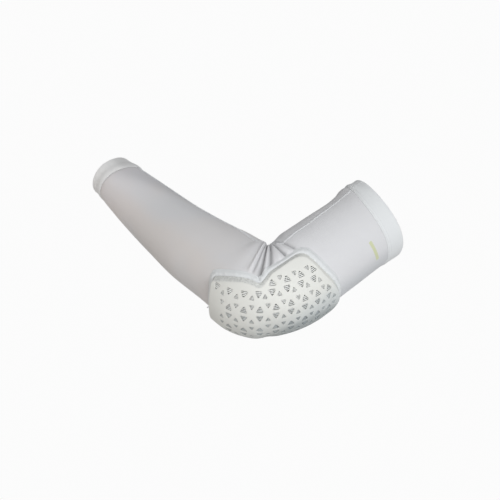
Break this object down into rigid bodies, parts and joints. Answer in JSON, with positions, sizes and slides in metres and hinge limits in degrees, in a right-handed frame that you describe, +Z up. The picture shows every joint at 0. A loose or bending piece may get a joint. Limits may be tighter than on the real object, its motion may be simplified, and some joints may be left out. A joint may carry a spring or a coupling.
{
  "type": "padded elbow support sleeve",
  "caption": "White knitted compression sleeve for a bent arm, with hem bands at both ends and a vented moulded pad with a raised rim over the elbow.",
  "frame": {"origin": "the point inside the elbow where the axes of the upper arm and the forearm would cross", "axes": "+X along the upper arm towards its wide end, +Y along the forearm towards the wrist, +Z up, square to the plane of the bent arm"},
  "size_m": [0.2848, 0.3747, 0.1136],
  "materials": {
    "knit": "fine white stretch knit",
    "hem_knit": "doubled white stretch knit",
    "rim_knit": "white knit drawn over the pad's edge",
    "pad_foam": "matte moulded white foam",
    "seam_thread": "flat sewn white seam"
  },
  "bodies": {
    "root": {"sleeve": "knit", "wrist_band": "hem_knit", "upper_band": "hem_knit", "pad_rim": "rim_knit", "elbow_pad": "pad_foam", "inner_seam": "seam_thread"}
  },
  "joints": []
}
